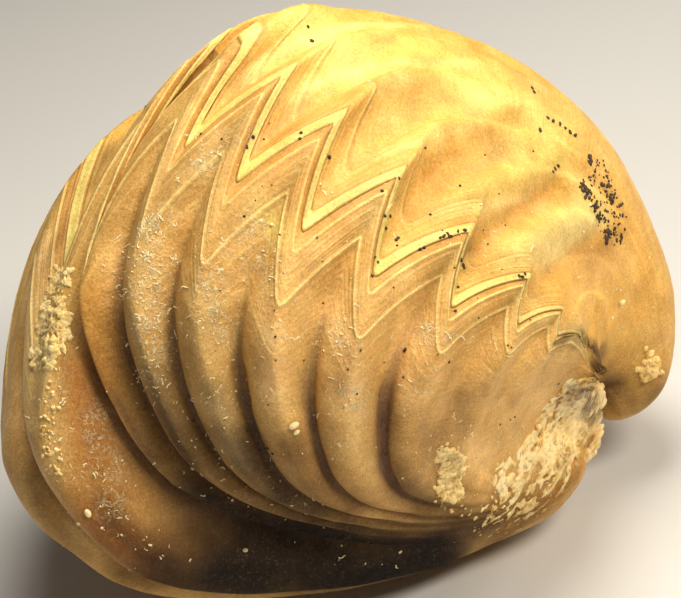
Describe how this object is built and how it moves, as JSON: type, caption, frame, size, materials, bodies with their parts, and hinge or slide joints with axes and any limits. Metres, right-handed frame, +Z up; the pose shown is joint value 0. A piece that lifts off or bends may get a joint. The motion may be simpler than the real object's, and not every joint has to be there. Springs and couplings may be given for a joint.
{
  "type": "brachiopod fossil",
  "caption": "Closed, globose fossil sea shell with strong radiating ribs, a zigzag seam between its valves, an incurved beak and a median fold.",
  "frame": {"origin": "centre of the bounding box in plan, on the flat surface that the loose shell lies on", "axes": "+Z up from that surface. The shell lies on its brachial valve and its left flank: its right flank faces -Y and up, its beak points to +X, and its front margin faces -X and up"},
  "size_m": [0.0264, 0.0242, 0.0223],
  "materials": {
    "pedicle_shell": "waxy, slightly translucent golden calcite shell with fine dust",
    "brachial_shell": "waxy tan to olive calcite shell, purple-brown in the grooves",
    "pale_matrix": "pale granular limestone crust, matte"
  },
  "bodies": {
    "root": {"pedicle_valve": "pedicle_shell", "brachial_valve": "brachial_shell", "matrix_plug": "pale_matrix"}
  },
  "joints": []
}
